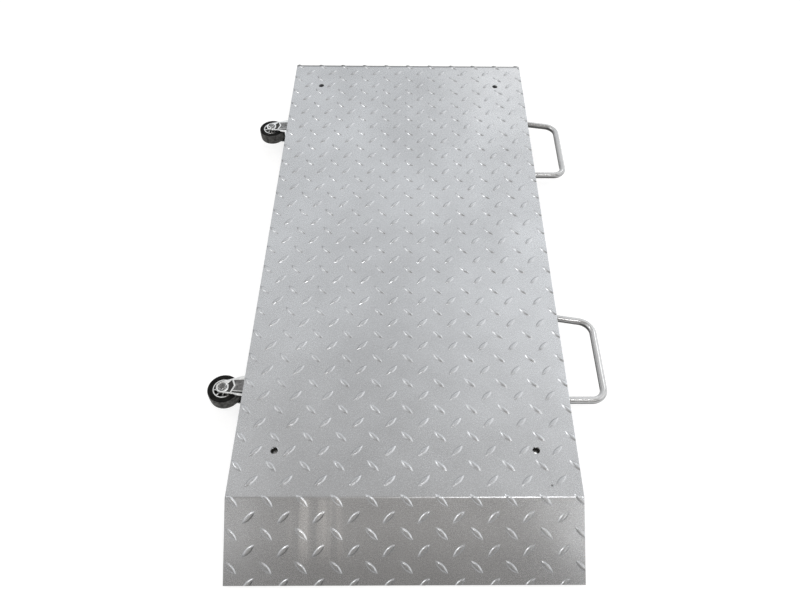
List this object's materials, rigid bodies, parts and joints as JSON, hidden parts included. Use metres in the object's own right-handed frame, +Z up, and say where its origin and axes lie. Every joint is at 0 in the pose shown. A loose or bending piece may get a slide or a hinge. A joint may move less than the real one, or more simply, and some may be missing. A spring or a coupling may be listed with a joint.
{
  "type": "livestock weighing platform",
  "caption": "Low livestock weighing platform: chequer plate deck with a folded front ramp, load cells on levelling feet, side casters and bar handles.",
  "frame": {"origin": "on the floor, under the middle of the overall length, on the deck's centre plane", "axes": "+Z up, +Y from the ramp towards the deck's rear edge, +X towards the handles"},
  "size_m": [0.757, 1.332, 0.084],
  "materials": {
    "silver_paint": "silver-grey satin paint on steel",
    "nickel_plate": "nickel-plated alloy steel",
    "zinc_plate": "bright zinc-plated steel",
    "grey_plastic": "moulded grey plastic",
    "board_laminate": "green circuit board",
    "black_rubber": "moulded black rubber",
    "black_tyre": "moulded black rubber tyre"
  },
  "bodies": {
    "platform": {"deck_plate": "silver_paint", "left_side_rail": "silver_paint", "right_side_rail": "silver_paint", "front_end_channel": "silver_paint", "rear_end_channel": "silver_paint", "front_cross_member": "silver_paint", "centre_cross_member": "silver_paint", "rear_cross_member": "silver_paint", "ramp_gussets": "silver_paint", "front_handle": "silver_paint", "rear_handle": "silver_paint", "front_left_pad": "silver_paint", "front_right_pad": "silver_paint", "rear_left_pad": "silver_paint", "rear_right_pad": "silver_paint", "front_left_cell": "nickel_plate", "front_right_cell": "nickel_plate", "rear_left_cell": "nickel_plate", "rear_right_cell": "nickel_plate", "cell_bolts": "zinc_plate", "cell_washers": "zinc_plate", "lock_nuts": "zinc_plate", "lid_screws": "zinc_plate", "box_studs": "zinc_plate", "front_caster_bracket": "zinc_plate", "rear_caster_bracket": "zinc_plate", "caster_bolts": "zinc_plate", "caster_nuts": "zinc_plate", "front_axle_bolt": "zinc_plate", "rear_axle_bolt": "zinc_plate", "front_axle_nut": "zinc_plate", "rear_axle_nut": "zinc_plate", "front_axle_sleeve": "zinc_plate", "rear_axle_sleeve": "zinc_plate", "junction_box": "grey_plastic", "box_lid": "grey_plastic", "cable_glands": "grey_plastic", "terminal_blocks": "grey_plastic", "summing_board": "board_laminate", "box_gasket": "black_rubber"},
    "front_wheel": {"front_wheel_core": "zinc_plate", "front_tyre": "black_tyre"},
    "rear_wheel": {"rear_wheel_core": "zinc_plate", "rear_tyre": "black_tyre"},
    "front_left_foot": {"front_left_cup": "zinc_plate", "front_left_foot_pad": "black_rubber"},
    "front_left_screw": {"front_left_stud": "zinc_plate"},
    "front_right_foot": {"front_right_cup": "zinc_plate", "front_right_foot_pad": "black_rubber"},
    "front_right_screw": {"front_right_stud": "zinc_plate"},
    "rear_left_foot": {"rear_left_cup": "zinc_plate", "rear_left_foot_pad": "black_rubber"},
    "rear_left_screw": {"rear_left_stud": "zinc_plate"},
    "rear_right_foot": {"rear_right_cup": "zinc_plate", "rear_right_foot_pad": "black_rubber"},
    "rear_right_screw": {"rear_right_stud": "zinc_plate"}
  },
  "joints": [
    {"name": "front_wheel_spin", "type": "hinge", "parent": "platform", "child": "front_wheel", "pos_m": [-0.345, -0.321, 0.043], "axis": [0, 0, 1], "continuous": true},
    {"name": "rear_wheel_spin", "type": "hinge", "parent": "platform", "child": "rear_wheel", "pos_m": [-0.345, 0.433, 0.043], "axis": [0, 0, 1], "continuous": true},
    {"name": "front_left_foot_height", "type": "slide", "parent": "platform", "child": "front_left_foot", "axis": [0, 0, 1], "range_m": [-0.012, 0.004]},
    {"name": "front_left_screw_turn", "type": "hinge", "parent": "front_left_foot", "child": "front_left_screw", "pos_m": [-0.228, -0.46, 0.04], "axis": [0, 0, 1], "range_deg": [-2500, 850]},
    {"name": "front_right_foot_height", "type": "slide", "parent": "platform", "child": "front_right_foot", "axis": [0, 0, 1], "range_m": [-0.012, 0.004]},
    {"name": "front_right_screw_turn", "type": "hinge", "parent": "front_right_foot", "child": "front_right_screw", "pos_m": [0.228, -0.46, 0.04], "axis": [0, 0, 1], "range_deg": [-2500, 850]},
    {"name": "rear_left_foot_height", "type": "slide", "parent": "platform", "child": "rear_left_foot", "axis": [0, 0, 1], "range_m": [-0.012, 0.004]},
    {"name": "rear_left_screw_turn", "type": "hinge", "parent": "rear_left_foot", "child": "rear_left_screw", "pos_m": [-0.228, 0.572, 0.04], "axis": [0, 0, 1], "range_deg": [-2500, 850]},
    {"name": "rear_right_foot_height", "type": "slide", "parent": "platform", "child": "rear_right_foot", "axis": [0, 0, 1], "range_m": [-0.012, 0.004]},
    {"name": "rear_right_screw_turn", "type": "hinge", "parent": "rear_right_foot", "child": "rear_right_screw", "pos_m": [0.228, 0.572, 0.04], "axis": [0, 0, 1], "range_deg": [-2500, 850]}
  ],
  "couplings": [
    {"joint": "front_left_screw_turn", "follows": "front_left_foot_height", "rad_per_m": 3590.4},
    {"joint": "front_right_screw_turn", "follows": "front_right_foot_height", "rad_per_m": 3590.4},
    {"joint": "rear_left_screw_turn", "follows": "rear_left_foot_height", "rad_per_m": 3590.4},
    {"joint": "rear_right_screw_turn", "follows": "rear_right_foot_height", "rad_per_m": 3590.4}
  ]
}
